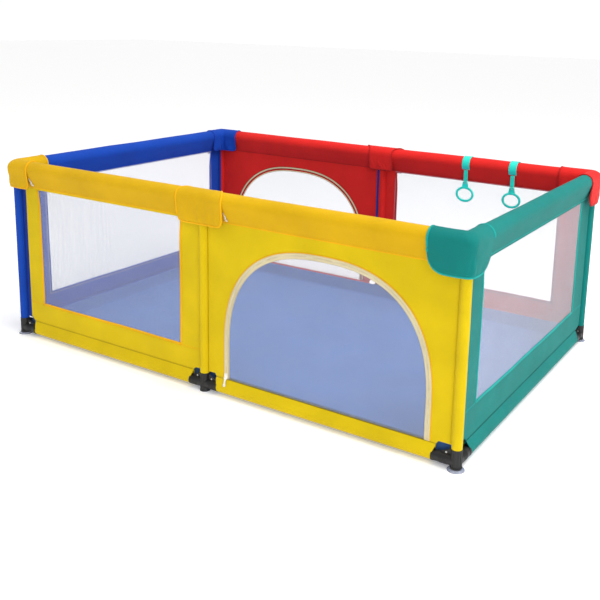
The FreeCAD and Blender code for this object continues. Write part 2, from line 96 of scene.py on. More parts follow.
# panel: first post, heading, last post, cloth colour, free edge's distance from the first post
PANELS = {
    "front_left": ("front_left", 0, "front_middle", "yellow", 42 * MM),
    "front_right": ("front_middle", 0, "front_right", "yellow", 17 * MM),
    "right": ("front_right", 90, "back_right", "teal", 17 * MM),
    "back_right": ("back_right", 180, "back_middle", "red", 17 * MM),
    "back_left": ("back_middle", 180, "back_left", "red", 17 * MM),
    "left": ("back_left", 270, "front_left", "blue", 17 * MM),
}
DOORS = {"front_right": "front_door", "back_left": "back_door"}
CHAMFERED = {"front_left": "start", "right": "end"}
# corner cap: heading, reach along the outgoing side, along the incoming side, colour, how much
# higher than the CAD cap its hem hangs, radii of its outgoing and incoming lower corners
CORNER_CAPS = {
    "front_left": (0, 82 * MM, 112 * MM, "yellow", 20 * MM, (16 * MM, 16 * MM)),
    "front_right": (90, 101 * MM, 104 * MM, "teal", 1 * MM, (84 * MM, 50 * MM)),
    "back_right": (180, 117 * MM, 110 * MM, "red", 0.0, (36 * MM, 36 * MM)),
    "back_left": (270, 84 * MM, 100 * MM, "blue", 6 * MM, (24 * MM, 24 * MM)),
}
MIDDLE_CAPS = {"front_middle": (0, "yellow"), "back_middle": (180, "red")}


# ---- colours and materials ----
def linear(r, g, b):
    """An sRGB colour of 0 to 255 as the linear RGBA that a shader takes."""
    lit = (((c / 255 + 0.055) / 1.055) ** 2.4 if c > 10 else c / 255 / 12.92 for c in (r, g, b))
    return (*lit, 1.0)


CLOTH_COLOURS = {
    "yellow": linear(222, 192, 5),
    # The rail covers' and caps' copy of the yellow cloth, darker and more orange: painted shade.
    "shaded_yellow": linear(218, 172, 2),
    "teal": linear(6, 126, 120),
    "red": linear(226, 36, 32),
    "blue": linear(14, 70, 178),
    "navy": linear(14, 54, 148),
    "floor": linear(74, 118, 190),
}
TRIM_COLOURS = {
    "yellow": linear(240, 180, 6),
    "teal": linear(22, 164, 156),
    "red": linear(190, 30, 28),
    "blue": linear(18, 66, 180),
}
SLOTS = {name: name + "_cloth" for name in TRIM_COLOURS}


class Shader:
    """A material and short ways to add nodes to it."""

    def __init__(self, name, roughness, **sockets):
        self.material = bpy.data.materials.new(name)
        self.material.use_nodes = True
        self.tree = self.material.node_tree
        self.bsdf = self.tree.nodes["Principled BSDF"]
        self.bsdf.inputs["Roughness"].default_value = roughness
        for socket, value in sockets.items():
            self.bsdf.inputs[socket.replace("_", " ")].default_value = value

    def node(self, kind, **settings):
        made = self.tree.nodes.new("ShaderNode" + kind)
        for key, value in settings.items():
            setattr(made, key, value)
        return made

    def link(self, source, target):
        self.tree.links.new(source, target)

    def math(self, operation, a, b=None):
        made = self.node("Math", operation=operation)
        for socket, value in zip(made.inputs, (a, b)):
            if isinstance(value, (int, float)):
                socket.default_value = value
            elif value is not None:
                self.link(value, socket)
        return made.outputs[0]

    def noise(self, scale, detail=3.0, stretch=(1, 1, 1)):
        place = self.node("TexCoord")
        mapping = self.node("Mapping")
        mapping.inputs["Scale"].default_value = stretch
        self.link(place.outputs["Object"], mapping.inputs["Vector"])
        made = self.node("TexNoise")
        made.inputs["Scale"].default_value = scale
        made.inputs["Detail"].default_value = detail
        self.link(mapping.outputs[0], made.inputs["Vector"])
        return made.outputs["Fac"]

    def ramp(self, fac, colours, low=0.3, high=0.7):
        made = self.node("ValToRGB")
        for element, colour, place in zip(made.color_ramp.elements, colours, (low, high)):
            element.color = colour
            element.position = place
        self.link(fac, made.inputs[0])
        return made.outputs[0]

    def range(self, fac, low, high):
        made = self.node("MapRange")
        made.inputs["To Min"].default_value = low
        made.inputs["To Max"].default_value = high
        self.link(fac, made.inputs["Value"])
        return made.outputs[0]

    def bump(self, height, distance, strength=1.0, under=None):
        made = self.node("Bump")
        made.inputs["Distance"].default_value = distance
        made.inputs["Strength"].default_value = strength
        self.link(height, made.inputs["Height"])
        if under is not None:
            self.link(under, made.inputs["Normal"])
        return made.outputs[0]

    def colour(self, output):
        self.link(output, self.bsdf.inputs["Base Color"])

    def woven_with_painted_shade(self, tone, height, share):
        """Colours the cloth with the tone, with painted shade in the low places between the threads."""
        mix = self.node("Mix", data_type="RGBA", blend_type="MULTIPLY")
        mix.inputs[0].default_value = share
        self.link(tone, mix.inputs[6])
        self.link(height, mix.inputs[7])
        self.colour(mix.outputs[2])

    def rough(self, output):
        self.link(output, self.bsdf.inputs["Roughness"])

    def normal(self, output):
        self.link(output, self.bsdf.inputs["Normal"])


def shade(colour, factor):
    return tuple(min(1.0, c * factor) for c in colour[:3]) + (1.0,)


def cloth_axes(shader):
    """The flat cloth coordinates of a piece, whole and as two axes."""
    uv = shader.node("UVMap", uv_map="cloth")
    split = shader.node("SeparateXYZ")
    shader.link(uv.outputs[0], split.inputs[0])
    return uv.outputs[0], (split.outputs[0], split.outputs[1])


def weave_height(shader, pitch):
    """Over-and-under threads of a plain weave."""
    flat, axes = cloth_axes(shader)
    threads = []
    for axis in axes:
        turns = shader.math("MULTIPLY", axis, math.pi / pitch)
        threads.append(shader.math("ABSOLUTE", shader.math("SINE", turns)))
    checker = shader.node("TexChecker")
    checker.inputs["Scale"].default_value = 1 / pitch
    shader.link(flat, checker.inputs["Vector"])
    over = checker.outputs["Fac"]
    warp = shader.math("MULTIPLY", threads[0], over)
    weft = shader.math("MULTIPLY", threads[1], shader.math("SUBTRACT", 1.0, over))
    return shader.math("ADD", warp, weft)


def cloth_material(name, colour, pitch=1.5 * MM, sheen=0.04):
    shader = Shader(name, 0.78, Sheen_Weight=sheen, Sheen_Roughness=0.5, Specular_IOR_Level=0.16)
    height = weave_height(shader, pitch)
    broad = shader.noise(7.0, 4.0)
    shader.woven_with_painted_shade(shader.ramp(broad, (shade(colour, 0.90), shade(colour, 1.06))), height, 0.242)
    shader.rough(shader.range(shader.noise(40.0), 0.68, 0.88))
    drape = shader.bump(shader.noise(16.0, 2.0, (1, 1, 0.5)), 1.6 * MM, 0.35)
    shader.normal(shader.bump(height, 0.25 * MM, 0.6, drape))
    return shader.material


# net: share of it that is yarn, colour; the one white yarn is painted darker on the front nets (painted
# shade) and lighter on the side nets (painted light)
NETS_LIT_AND_SHADED = {"front": (0.32, linear(184, 188, 200)), "side": (0.42, linear(206, 208, 217))}


def net_material(name, cover, colour):
    """Open net: white yarn round small holes, which let the view through."""
    shader = Shader(name, 0.75, Sheen_Weight=0.2)
    pitch = 2.1 * MM
    waves = [shader.math("COSINE", shader.math("MULTIPLY", axis, 2 * math.pi / pitch))
             for axis in cloth_axes(shader)[1]]
    openness = shader.math("ADD", *waves)
    yarn = shader.math("SUBTRACT", cover, shader.math("MULTIPLY", openness, 0.12))
    shader.colour(shader.ramp(shader.noise(12.0), (shade(colour, 0.96), shade(colour, 1.04))))
    clamp = shader.node("Clamp")
    shader.link(yarn, clamp.inputs[0])
    shader.link(clamp.outputs[0], shader.bsdf.inputs["Alpha"])
    return shader.material


def moulded_material(name, colour, roughness, grain=0.25 * MM, **sockets):
    """Moulded plastic with a fine spark-eroded grain and rubbed high spots."""
    shader = Shader(name, roughness, **sockets)
    worn = shader.noise(35.0, 5.0)
    shader.colour(shader.ramp(worn, (shade(colour, 0.85), shade(colour, 1.35)), 0.35, 0.75))
    shader.rough(shader.range(shader.noise(90.0), roughness - 0.08, roughness + 0.12))
    shader.normal(shader.bump(shader.noise(900.0, 2.0), grain, 0.35))
    return shader.material


def metal_material(name, colour, roughness):
    shader = Shader(name, roughness, Metallic=1.0)
    shader.colour(shader.ramp(shader.noise(60.0, 4.0), (shade(colour, 0.8), colour)))
    shader.rough(shader.range(shader.noise(200.0, 2.0, (1, 1, 0.1)), roughness - 0.08, roughness + 0.1))
    return shader.material


def foam_material():
    shader = Shader("foam", 0.95)
    cells = shader.node("TexVoronoi")
    cells.inputs["Scale"].default_value = 700.0
    wall = cells.outputs["Distance"]
    shader.colour(shader.ramp(wall, (linear(150, 152, 150), linear(214, 214, 210)), 0, 0.6))
    shader.normal(shader.bump(wall, 0.4 * MM, 0.8))
    return shader.material


def webbing_material(name, colour):
    """Ribbed polyester webbing, its ribs across the strap."""
    shader = Shader(name, 0.6, Sheen_Weight=0.3, Specular_IOR_Level=0.35)
    height = weave_height(shader, 2.2 * MM)
    shader.woven_with_painted_shade(shader.ramp(shader.noise(30.0), (shade(colour, 0.92), shade(colour, 1.08))), height, 0.3)
    shader.normal(shader.bump(height, 0.4 * MM, 0.8))
    return shader.material


def vinyl_material():
    """Clear soft vinyl, slightly blue and cloudy."""
    shader = Shader("clear_vinyl", 0.12, Transmission_Weight=0.72, IOR=1.45)
    shader.colour(shader.ramp(shader.noise(40.0), (linear(190, 198, 220), linear(226, 230, 240))))
    shader.rough(shader.range(shader.noise(80.0), 0.08, 0.25))
    return shader.material


MAT = {name: cloth_material(name + "_cloth", colour) for name, colour in CLOTH_COLOURS.items()}
for name, colour in TRIM_COLOURS.items():
    MAT[name + "_trim"] = cloth_material(name + "_trim", colour, 1.0 * MM)
    # Seam cloth: the cloth colour halved, painted shade along the seams.
    MAT[name + "_seam"] = cloth_material(name + "_seam", shade(CLOTH_COLOURS[name], 0.5), 1.0 * MM)
MAT.update({"net_" + name: net_material("white_net_painted_light_" + name, *values) for name, values in NETS_LIT_AND_SHADED.items()})
MAT["zip_tape"] = cloth_material("zip_tape", linear(228, 214, 172), 1.1 * MM, 0.1)
MAT["zip_coil"] = moulded_material("zip_coil", linear(236, 228, 204), 0.4)
MAT["black"] = moulded_material("black_plastic", linear(17, 17, 18), 0.46)
MAT["white_plastic"] = moulded_material("white_plastic", linear(236, 236, 230), 0.35, 0.1 * MM)
MAT["turquoise"] = moulded_material("turquoise_plastic", linear(6, 204, 190), 0.3, 0.1 * MM)
MAT["webbing"] = webbing_material("turquoise_webbing", linear(6, 226, 204))
MAT["vinyl"] = vinyl_material()
MAT["steel"] = metal_material("coated_steel", linear(176, 180, 184), 0.35)
MAT["screw"] = metal_material("screw_steel", linear(200, 200, 196), 0.3)
MAT["foam"] = foam_material()
MAT["fuzz"] = cloth_material("loop_tape", linear(232, 226, 214), 0.8 * MM, 0.5)
# Rail covers and caps take their panel's cloth; yellow ones take the darker, more orange copy of the yellow,
# which is painted shade.
SHELLS = {name: MAT["shaded_yellow" if name == "yellow" else name] for name in TRIM_COLOURS}


# ---- mesh building ----
def smooth(t):
    t = min(1.0, max(0.0, t))
    return t * t * (3 - 2 * t)


def lerp(a, b, t):
    return a + (b - a) * t


def spaced(stops, step):
    """The stops, with evenly spaced values added between them no more than step apart."""
    values = [stops[0]]
    for a, b in zip(stops, stops[1:]):
        count = max(1, math.ceil(abs(b - a) / step - 1e-6))
        values += [lerp(a, b, k / count) for k in range(1, count + 1)]
    return values


class Pattern:
    """Grids of points that make up one sewn piece, each point with its place on the flat cloth."""

    def __init__(self):
        self.points = []
        self.flat = []
        self.faces = []

    def add(self, row):
        self.points += [p[:3] for p in row]
        self.flat += [p[3:5] for p in row]

    def grid(self, rows, skip=None):
        """rows of (x, y, z, s, t); s and t are metres along the cloth. skip(i, j) leaves a cell open."""
        first, width = len(self.points), len(rows[0])
        for row in rows:
            self.add(row)
        for i in range(len(rows) - 1):
            for j in range(width - 1):
                if skip is None or not skip(i, j):
                    a = first + i * width + j
                    self.faces.append((a, a + 1, a + width + 1, a + width))
        return self

    def fan(self, points):
        """One flat face that closes an end."""
        first = len(self.points)
        self.add(points)
        self.faces.append(tuple(range(first, first + len(points))))
        return self

    def tube(self, rows):
        """Rows that wrap round, with a flat face on each end."""
        self.grid(rows)
        for row in (rows[0], rows[-1]):
            self.fan(row[:-1])
        return self

    def piece(self, name, material, body, slot, matrix=Matrix.Identity(4), weld=0.1 * MM):
        mesh = bpy.data.meshes.new(name)
        mesh.from_pydata(self.points, [], self.faces)
        layer = mesh.uv_layers.new(name="cloth")
        for loop in mesh.loops:
            layer.data[loop.index].uv = self.flat[loop.vertex_index]
        mesh.transform(matrix)
        mesh.materials.append(material)
        made = bpy.data.objects.new(name, mesh)
        bpy.context.scene.collection.objects.link(made)
        tidy_mesh(made, weld)
        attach(made, body)
        return made


def tidy_mesh(piece, weld):
    """Joins points that coincide, makes the faces look outwards, and shades them smooth."""
    bm = bmesh.new()
    bm.from_mesh(piece.data)
    bmesh.ops.remove_doubles(bm, verts=bm.verts, dist=weld)
    bmesh.ops.recalc_face_normals(bm, faces=bm.faces)
    bm.to_mesh(piece.data)
    bm.free()
    piece.data.shade_smooth()


def modified(piece, kind, **settings):
    """Adds a modifier and applies it at once."""
    made = piece.modifiers.new(kind.lower(), kind)
    for key, value in settings.items():
        setattr(made, key, value)
    bpy.context.view_layer.update()
    depsgraph = bpy.context.evaluated_depsgraph_get()
    done = bpy.data.meshes.new_from_object(piece.evaluated_get(depsgraph), preserve_all_data_layers=True,
                                           depsgraph=depsgraph)
    piece.modifiers.clear()
    piece.data = done


def thicken(piece, thickness):
    """Gives cloth its thickness; its cut edges stay crisp."""
    modified(piece, "SOLIDIFY", thickness=thickness, offset=0.0, use_even_offset=True)
    piece.data.set_sharp_from_angle(angle=math.radians(40))


def panel_matrix(panel):
    start, heading = PANELS[panel][0], PANELS[panel][1]
    return Matrix.Translation(POSTS[start]) @ Matrix.Rotation(math.radians(heading), 4, "Z")


def panel_length(panel):
    start, end = PANELS[panel][0], PANELS[panel][2]
    return (POSTS[end] - POSTS[start]).length


def arm_of(post):
    return MIDDLE_ARM if post.endswith("middle") else CORNER_ARM


def ripple(x, y, scale, seed):
    """A gentle, repeatable wave of about -1 to 1."""
    return noise.noise(Vector((x / scale, y / scale, seed * 7.31))) * 1.6


def seed_of(name):
    return sum(ord(c) for c in name) % 17


# ---- swept trims: bindings, piping, tapes and threads ----
def frames_along(path, outs):
    """(point, across, out, distance travelled) at each point of a path."""
    travelled = 0.0
    for k, point in enumerate(path):
        before, after = path[max(k - 1, 0)], path[min(k + 1, len(path) - 1)]
        out = outs[k] if isinstance(outs, list) else outs
        across = (after - before).normalized().cross(out).normalized()
        travelled += (point - path[k - 1]).length if k else 0.0
        yield point, across, out, travelled


def sweep(pattern, path, profile, outs, taper=False):
    """Carries a closed (across, out) profile along path; outs give each point's outward direction."""
    rows = []
    for k, (point, across, out, travelled) in enumerate(frames_along(path, outs)):
        size = 0.35 if taper and k in (0, len(path) - 1) else 1.0
        rows.append([(*(point + across * a * size + out * b * size), travelled, a + b)
                     for a, b in profile + profile[:1]])
    return pattern.tube(rows)


def round_profile(radius_across, radius_out, count=8):
    turns = [2 * math.pi * k / count for k in range(count)]
    return [(radius_across * math.cos(t), radius_out * math.sin(t)) for t in turns]


def tape_profile(inner, outer, thickness):
    """A flat tape from inner to outer across the path, with rounded edges."""
    soft = thickness * 0.45
    return [(inner, 0), (inner + soft, -thickness / 2), (outer - soft, -thickness / 2), (outer, 0),
            (outer - soft, thickness / 2), (inner + soft, thickness / 2)]


def walk(path, pitch):
    """Points, directions and stretch numbers every pitch along a path."""
    found = []
    left = pitch / 2
    for k, (a, b) in enumerate(zip(path, path[1:])):
        run = (b - a).length
        while left < run:
            found.append((a.lerp(b, left / run), (b - a).normalized(), k))
            left += pitch
        left -= run
    return found


def stitches(pattern, path, out, pitch=4.2 * MM, length=3.2 * MM, radius=0.35 * MM):
    """Separate lockstitches lying along a path."""
    for place, tangent, k in walk(path, pitch):
        up = out[k] if isinstance(out, list) else out
        across = tangent.cross(up).normalized()
        rows = []
        for along, size in ((-0.5, 0.3), (-0.3, 1.0), (0.3, 1.0), (0.5, 0.3)):
            ring = []
            for corner in range(5):
                turn = 2 * math.pi * corner / 4
                offset = (across * math.cos(turn) + up * math.sin(turn)) * radius * size
                ring.append((*(place + tangent * along * length + offset), along * length, turn * radius))
            rows.append(ring)
        pattern.tube(rows)


def sew(pattern, name, panel, thread="_trim"):
    """Adds a trim to the panel, in the panel's trim colour or in its seam colour, the cloth colour darkened
    as painted shade.
    """
    colour = PANELS[panel][3]
    pattern.piece(name + "_" + panel, MAT[colour + thread], "frame", SLOTS[colour], panel_matrix(panel))


# ---- shapes shared with the frame ----
def teardrop(radius, centre_z, tip_z, count=30, tip_half=1.2 * MM, downwards=True):
    """(v, z) round a rail section from its tip, out round the rail and back to the tip."""
    sign = 1 if downwards else -1
    drop = abs(centre_z - tip_z)
    turn = math.acos(min(1.0, radius / math.hypot(drop, tip_half))) - math.atan2(tip_half, drop)
    side = [(lerp(-tip_half, -radius * math.sin(turn), k / 6), lerp(-drop, -radius * math.cos(turn), k / 6))
            for k in range(6)]
    arc = []
    for k in range(count + 1):
        angle = lerp(turn, 2 * math.pi - turn, k / count)
        arc.append((-radius * math.sin(angle), -radius * math.cos(angle)))
    other = [(-v, z) for v, z in reversed(side)]
    return [(v, centre_z + sign * z) for v, z in side + arc + other]


def lengths_round(outline):
    """Distance travelled round an outline to each of its points."""
    total, found = 0.0, [0.0]
    for (v0, z0), (v1, z1) in zip(outline, outline[1:]):
        total += math.hypot(v1 - v0, z1 - z0)
        found.append(total)
    return found


def arch_polar(angle, grow=0.0):
    """Distance from the springing centre to the door's outline in a direction."""
    a, b = DOOR_HALF + grow, DOOR_TOP_Z - DOOR_SPRING_Z + grow
    c, s = abs(math.cos(angle)) / a, abs(math.sin(angle)) / b
    return (c ** DOOR_POWER + s ** DOOR_POWER) ** (-1 / DOOR_POWER)


def door_gap(u, z):
    """Distance from the door's outline to a point of the panel outside it."""
    if z <= DOOR_SPRING_Z:
        return abs(u - DOOR_U) - DOOR_HALF
    angle = math.atan2(z - DOOR_SPRING_Z, u - DOOR_U)
    return math.hypot(u - DOOR_U, z - DOOR_SPRING_Z) - arch_polar(angle)


def arch_path(grow=0.0, low=DOOR_LOW_Z, v=0.0):
    """The door's outline as points, up the first leg, over the crown and down the second."""
    left = [(DOOR_U - DOOR_HALF - grow, z) for z in spaced([low, DOOR_SPRING_Z], 9 * MM)]
    count = 96
    crown = []
    for k in range(1, count):
        angle = math.pi * (1 - k / count)
        reach = arch_polar(angle, grow)
        crown.append((DOOR_U + reach * math.cos(angle), DOOR_SPRING_Z + reach * math.sin(angle)))
    right = [(2 * DOOR_U - u, z) for u, z in reversed(left)]
    return [Vector((u, v, z)) for u, z in left + crown + right]


# ---- side panels ----
def window_of(panel):
    """(near edge, far edge, sill) of a panel's net window, from its CAD net."""
    low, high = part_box("mesh_window_" + panel)
    back = panel_matrix(panel).inverted()
    ends = sorted((back @ corner).x for corner in (Vector((low.x, low.y, 0)), Vector((high.x, high.y, 0))))
    return ends[0], ends[1], low.z


def bottom_edge(panel, u):
    """Height of the cloth's lower edge at u: level on the sleeve, and higher over the connectors."""
    start, _, end = PANELS[panel][:3]
    length = panel_length(panel)
    low, high = arm_of(start) - 9 * MM, length - arm_of(end) + 9 * MM
    near = smooth((low - u) / (5 * MM))
    far = smooth((u - high) / (5 * MM))
    rise = (NOTCH_Z - SLEEVE_TIP_Z) * max(near, far)
    if CHAMFERED.get(panel) == "start" and u < low:
        rise = (low - u) * 0.95
    if CHAMFERED.get(panel) == "end" and u > high:
        rise = (u - high) * 0.25
    return SLEEVE_TIP_Z + rise


def cloth_lean(panel, u, z):
    """How far the panel's cloth stands out of its plane: slack in the middle, tight at its seams."""
    length = panel_length(panel)
    hold = smooth(u / (90 * MM)) * smooth((length - u) / (60 * MM))
    hold *= smooth((COVER_TIP_Z - z) / (50 * MM)) * smooth((z - SLEEVE_TIP_Z) / (40 * MM))
    if panel in DOORS:
        hold *= smooth((door_gap(u, z) - 20 * MM) / (50 * MM))
    seed = seed_of(panel)
    broad = ripple(u, z * 0.6, 0.24, seed) * 2.2
    fine = ripple(u, z * 0.35, 0.07, seed + 3) * 0.7
    pull = ripple(u * 2.5, z * 0.3, 0.11, seed + 5) * 0.6 * (1 - smooth((COVER_TIP_Z - z) / (120 * MM)))
    return -(broad + fine + pull) * hold * MM


def cloth_point(panel, u, z):
    return (u, cloth_lean(panel, u, z), z, u, z)


def flare_share(z):
    """How much of its flare a window's side edge has at a height."""
    return smooth((z - NET_TOP_Z + FLARE_HEIGHT) / FLARE_HEIGHT)


def window_cloth(panel, pattern):
    free, length = PANELS[panel][4], panel_length(panel)
    near, far, sill = window_of(panel)
    us = spaced([free, 62 * MM, near, far, length - 62 * MM, length - 13 * MM], 14 * MM)
    zs = spaced([0.0, 1.0], 0.12)
    band = [[cloth_point(panel, u, lerp(bottom_edge(panel, u), sill, t)) for u in us] for t in zs]
    pattern.grid(band)
    upper = spaced([sill, NET_TOP_Z, COVER_TIP_Z + 2 * MM], 14 * MM)
    rows = []
    for z in upper:
        flare = FLARE * flare_share(z)
        row = []
        for u in us:
            shift = flare * 0.6 * max(0.0, 1 - abs(u - far) / FLARE_REACH)
            shift -= flare * max(0.0, 1 - abs(u - near) / FLARE_REACH)
            row.append(cloth_point(panel, u + shift, z))
        rows.append(row)

    def open_cell(i, j):
        return upper[i + 1] <= NET_TOP_Z + 1e-6 and us[j] >= near - 1e-6 and us[j + 1] <= far + 1e-6
    pattern.grid(rows, open_cell)


def door_cloth(panel, pattern):
    free = PANELS[panel][4]
    last = panel_length(panel) - 13 * MM
    rows = 12
    for edge, side in ((free, -1), (last, 1)):
        inner = DOOR_U + side * DOOR_HALF
        across = [lerp(inner, edge, k / rows) for k in range(rows + 1)]
        pattern.grid([[cloth_point(panel, u, lerp(bottom_edge(panel, u), DOOR_SPRING_Z, t)) for u in across]
                      for t in spaced([0.0, 1.0], 0.125)])
    top = COVER_TIP_Z + 2 * MM
    corners = [math.atan2(top - DOOR_SPRING_Z, last - DOOR_U), math.atan2(top - DOOR_SPRING_Z, free - DOOR_U)]
    crown = []
    for angle in spaced([0.0, corners[0], corners[1], math.pi], math.pi / 72):
        c, s = math.cos(angle), math.sin(angle)
        edge = (last if c > 0 else free) - DOOR_U
        reach = min(edge / c if abs(c) > 1e-6 else 9.0, (top - DOOR_SPRING_Z) / s if s > 1e-6 else 9.0)
        inner = arch_polar(angle)
        row = []
        for k in range(rows + 1):
            r = lerp(inner, reach, k / rows)
            row.append(cloth_point(panel, DOOR_U + r * c, DOOR_SPRING_Z + r * s))
        crown.append(row)
    pattern.grid(crown)


def rail_sleeve(panel, pattern):
    """The hem that the bottom rail runs through; its ends lean towards the posts at the top."""
    start, _, end = PANELS[panel][:3]
    length = panel_length(panel)
    low, high = arm_of(start), length - arm_of(end)
    outline = teardrop(SLEEVE_R, BOTTOM_Z, SLEEVE_TIP_Z, 18, 0.8 * MM, downwards=False)
    round_it = lengths_round(outline)
    rows = []
    for t in spaced([0.0, 0.03, 0.97, 1.0], 0.02):
        row = []
        for (v, z), s in zip(outline, round_it):
            lean = 9 * MM * smooth((z - BOTTOM_Z) / (SLEEVE_TIP_Z - BOTTOM_Z))
            u = lerp(low - lean, high + lean, t)
            slack = 1 + 0.035 * ripple(u, s, 0.06, seed_of(panel)) * smooth((SLEEVE_TIP_Z - z) / (15 * MM))
            row.append((u, v * slack, z, u, s))
        rows.append(row)
    pattern.grid(rows)


def post_sleeve(panel, pattern):
    length = panel_length(panel)
    rows = []
    count = 24
    for z in spaced([POST_SLEEVE_LOW, POST_SLEEVE_HIGH], 16 * MM):
        row = []
        for k in range(count + 1):
            turn = 2 * math.pi * k / count
            radius = SLEEVE_R * (1 + 0.02 * ripple(z, math.sin(turn) * 0.02, 0.07, seed_of(panel) + 2))
            row.append((length + radius * math.cos(turn), radius * math.sin(turn), z, z, turn * SLEEVE_R))
        rows.append(row)
    pattern.grid(rows)


def window_trim(panel):
    """Binding round the window, the band's top seam from post to post, and its stitches."""
    near, far, sill = window_of(panel)
    free, last = PANELS[panel][4], panel_length(panel) - 15 * MM
    trim, thread = Pattern(), Pattern()

    def laid(u, z, bend=0.0):
        return Vector((u + bend * flare_share(z), cloth_lean(panel, u, z), z))
    zs = spaced([sill, NET_TOP_Z], 0.05 * (NET_TOP_Z - sill))
    legs = [[laid(u, z, bend) for z in zs] for u, bend in ((near, -FLARE), (far, FLARE * 0.6))]
    for path in (*legs, [laid(u, sill) for u in spaced([near, far], 30 * MM)]):
        sweep(trim, path, round_profile(4.6 * MM, 2.3 * MM), OUT)
    seam = [laid(u, sill) for u in spaced([free, near, far, last], 20 * MM)]
    sweep(trim, seam, round_profile(1.6 * MM, 1.3 * MM, 6), OUT)
    for path, beside, above in ((legs[0], -5, 0), (legs[1], 5, 0), (seam, 0, -5)):
        shift = Vector((beside, -1.1, above)) * MM
        stitches(thread, [p + shift for p in path], OUT)
    sew(trim, "window_binding", panel)
    sew(thread, "window_stitches", panel)


def hem_trim(panel):
    """The seam above the rail sleeve and the one beside the post sleeve, each with its stitches."""
    start, _, end = PANELS[panel][:3]
    length = panel_length(panel)
    us = spaced([arm_of(start) - 8 * MM, length - arm_of(end) + 8 * MM], 25 * MM)
    zs = spaced([NOTCH_Z + 4 * MM, COVER_TIP_Z - 12 * MM], 25 * MM)
    trim, thread = Pattern(), Pattern()
    for side in (-1, 1):
        out = Vector((0, side, 0))
        path = [Vector((u, side * 1.0 * MM, SLEEVE_TIP_Z + 0.5 * MM)) for u in us]
        sweep(trim, path, round_profile(1.1 * MM, 0.7 * MM, 6), out)
        stitches(thread, [p + Vector((0, side * 0.4 * MM, 3.5 * MM)) for p in path], out)
        stitches(thread, [Vector((length - 19 * MM, side * 1.3 * MM, z)) for z in zs], out)
    # The welt and its stitches take the darkened seam colour: painted shade along the seam.
    sew(trim, "sleeve_seam", panel, "_seam")
    sew(thread, "sleeve_stitches", panel, "_seam")


def make_panel(panel):
    colour = PANELS[panel][3]
    cloth = Pattern()
    (door_cloth if panel in DOORS else window_cloth)(panel, cloth)
    rail_sleeve(panel, cloth)
    post_sleeve(panel, cloth)
    made = cloth.piece("panel_cloth_" + panel, MAT[colour], "frame", SLOTS[colour], panel_matrix(panel))
    thicken(made, CLOTH)
    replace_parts(made, "side_panel_" + panel)
    hem_trim(panel)
    (make_door if panel in DOORS else make_window)(panel)


def net_point(panel, u, z, held, v0):
    sag = ripple(u, z, 0.3, seed_of(panel) + 9) * 0.9 * MM * held
    return (u, v0 + sag, z, u, z)


def make_window(panel):
    near, far, sill = window_of(panel)
    over = 7 * MM
    us = spaced([near - over, near, far, far + over], 22 * MM)
    zs = spaced([sill - over, sill, NET_TOP_Z, NET_TOP_Z + 4 * MM], 22 * MM)
    net = Pattern()
    rows = []
    for z in zs:
        row = []
        for u in us:
            held = smooth((u - near) / 0.08) * smooth((far - u) / 0.08) * smooth((z - sill) / 0.08)
            held *= smooth((NET_TOP_Z - z) / 0.05)
            lean = cloth_lean(panel, u, z) * (1 - held)
            row.append(net_point(panel, u, z, held, lean + 1.5 * MM))
        rows.append(row)
    net.grid(rows)
    # Side nets take the lighter copy of the white yarn and front nets the darker one: painted light and
    # painted shade.
    weave = MAT["net_side" if panel in ("left", "right") else "net_front"]
    made = net.piece("window_net_" + panel, weave, "frame", "white_mesh", panel_matrix(panel))
    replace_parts(made, "mesh_window_" + panel)
    window_trim(panel)


# ---- zipped doors ----
def make_door(panel):
    body = DOORS[panel]
    net = Pattern()
    grow = -3 * MM
    rows = []
    for share in spaced([0.0, 1.0], 1 / 24):
        row = []
        for point in arch_path(grow):
            u = lerp(DOOR_U, point.x, share)
            z = point.z if point.z <= DOOR_SPRING_Z else lerp(DOOR_SPRING_Z, point.z, share)
            held = smooth((1 - share) / 0.3) * smooth((z - DOOR_LOW_Z) / 0.08)
            row.append(net_point(panel, u, z, held, 0.2 * MM))
        rows.append(row)
    net.grid(rows)
    made = net.piece("door_net_" + panel, MAT["net_front"], body, "white_mesh", panel_matrix(panel))
    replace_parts(made, "door_flap_" + panel)
    make_zip(panel, body)


def zip_piece(pattern, name, panel, material, body, weld=0.1 * MM):
    return pattern.piece(name + "_" + panel, MAT[material], body, "cream_zip", panel_matrix(panel), weld)


